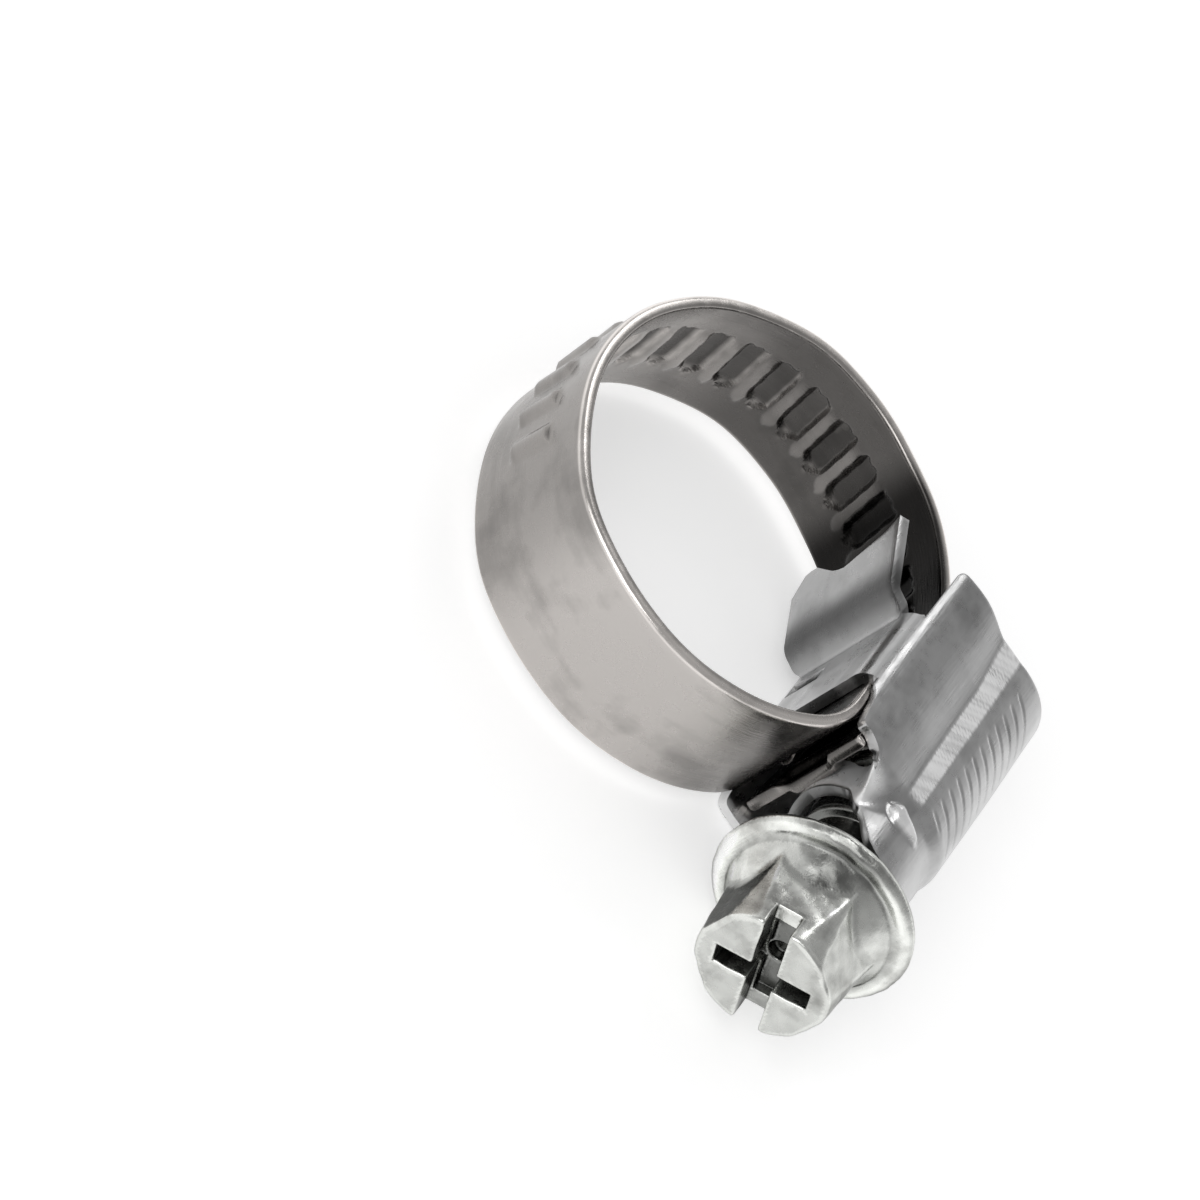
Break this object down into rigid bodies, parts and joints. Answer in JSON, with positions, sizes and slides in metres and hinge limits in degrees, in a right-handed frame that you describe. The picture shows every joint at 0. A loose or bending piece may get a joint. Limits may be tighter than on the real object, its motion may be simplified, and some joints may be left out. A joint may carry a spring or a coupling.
{
  "type": "hose clip",
  "caption": "Worm-drive hose clip: a bent steel band with pressed thread, a folded housing with an inner tongue, and a flanged hex screw that draws the band in.",
  "frame": {"origin": "centre of the ring that the band makes, at the middle of the band's width", "axes": "+Z along the hose's axis, +X along the screw away from its head, the housing on the -Y side of the ring"},
  "size_m": [0.0292, 0.0328, 0.011],
  "materials": {
    "band_steel": "satin stainless strip with fine rolling lines and bright edges",
    "housing_steel": "satin pressed stainless sheet with brushed facets",
    "screw_zinc": "zinc-plated steel, bright and slightly mottled"
  },
  "bodies": {
    "clip": {"band": "band_steel", "housing": "housing_steel"},
    "screw": {"worm_screw": "screw_zinc"}
  },
  "joints": [
    {"name": "screw_turn", "type": "hinge", "parent": "clip", "child": "screw", "pos_m": [-0.0055, -0.01535, 0], "axis": [1, 0, 0], "continuous": true}
  ]
}
